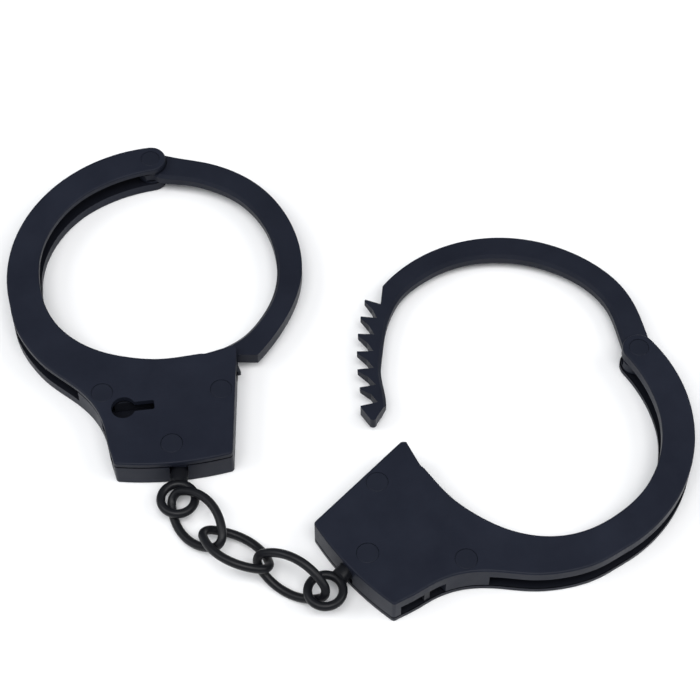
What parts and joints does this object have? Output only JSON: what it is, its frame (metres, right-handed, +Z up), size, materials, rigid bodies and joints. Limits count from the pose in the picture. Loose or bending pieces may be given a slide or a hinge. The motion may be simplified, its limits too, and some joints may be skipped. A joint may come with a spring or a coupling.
{
  "type": "handcuffs",
  "caption": "Pair of flat black handcuffs with toothed swing arms, keyed lock bodies and a short link chain.",
  "frame": {"origin": "centre of the set's outline on the surface it lies on", "axes": "+X from the left cuff to the right cuff, +Y from the chain towards the left cuff's hinge, +Z up from the surface"},
  "size_m": [0.1744, 0.1386, 0.012],
  "materials": {
    "shell_plastic": "black moulded plastic, satin, fine grain",
    "arm_plastic": "black moulded plastic, satin",
    "rivet_black": "black rivet heads, satin",
    "pawl_plastic": "black moulded plastic",
    "pin_steel": "plain steel",
    "chain_black": "black, glossy"
  },
  "bodies": {
    "lock_left": {"back_shell_left": "shell_plastic", "front_cover_left": "shell_plastic", "hinge_rivet_left": "rivet_black", "shell_rivets_left": "rivet_black", "pawl_pin_left": "pin_steel", "pawl_spring_left": "pin_steel"},
    "arm_left": {"swing_arm_left": "arm_plastic"},
    "pawl_left": {"pawl_left": "pawl_plastic"},
    "eye_left": {"swivel_eye_left": "chain_black"},
    "lock_right": {"back_shell_right": "shell_plastic", "front_cover_right": "shell_plastic", "hinge_rivet_right": "rivet_black", "shell_rivets_right": "rivet_black", "pawl_pin_right": "pin_steel", "pawl_spring_right": "pin_steel"},
    "arm_right": {"swing_arm_right": "arm_plastic"},
    "pawl_right": {"pawl_right": "pawl_plastic"},
    "eye_right": {"swivel_eye_right": "chain_black"},
    "link_1": {"chain_link_1": "chain_black"},
    "link_2": {"chain_link_2": "chain_black"},
    "link_3": {"chain_link_3": "chain_black"}
  },
  "joints": [
    {"name": "arm_left_hinge", "type": "hinge", "parent": "lock_left", "child": "arm_left", "pos_m": [-0.05201, 0.06517, 0.0045], "axis": [0, 0, 1], "range_deg": [-17.6, 110]},
    {"name": "pawl_left_pivot", "type": "hinge", "parent": "lock_left", "child": "pawl_left", "pos_m": [-0.03551, -0.01183, 0.0045], "axis": [0, 0, 1], "range_deg": [-9.3, 0]},
    {"name": "swivel_left", "type": "hinge", "parent": "lock_left", "child": "eye_left", "pos_m": [-0.03996, -0.0319, 0.0037], "axis": [0, 1, 0], "range_deg": [-90, 90]},
    {"name": "link_1_on_eye_left", "type": "hinge", "parent": "eye_left", "child": "link_1", "pos_m": [-0.04126, -0.0419, 0.0037], "axis": [0.9511, -0.309, 0], "range_deg": [-1, 25]},
    {"name": "link_2_on_link_1", "type": "hinge", "parent": "link_1", "child": "link_2", "pos_m": [-0.03128, -0.05157, 0.00395], "axis": [0.8561, -0.2203, 0.4675], "range_deg": [-25, 20]},
    {"name": "link_3_on_link_2", "type": "hinge", "parent": "link_2", "child": "link_3", "pos_m": [-0.0172, -0.0569, 0.00497], "axis": [0.116, 0.8723, -0.475], "range_deg": [-18, 25]},
    {"name": "eye_right_on_link_3", "type": "hinge", "parent": "link_3", "child": "eye_right", "pos_m": [-0.00615, -0.06507, 0.00339], "axis": [0.8232, -0.1898, 0.5351], "range_deg": [-25, 20]},
    {"name": "swivel_right", "type": "hinge", "parent": "eye_right", "child": "lock_right", "pos_m": [0.00032, -0.05948, 0.0053], "axis": [0.6816, 0.7317, 0], "range_deg": [-90, 90]},
    {"name": "arm_right_hinge", "type": "hinge", "parent": "lock_right", "child": "arm_right", "pos_m": [0.0753, 0.00333, 0.0045], "axis": [0, 0, -1], "range_deg": [-57, 70.6]},
    {"name": "pawl_right_pivot", "type": "hinge", "parent": "lock_right", "child": "pawl_right", "pos_m": [0.01074, -0.04176, 0.0045], "axis": [0, 0, -1], "range_deg": [-9.3, 0]}
  ]
}
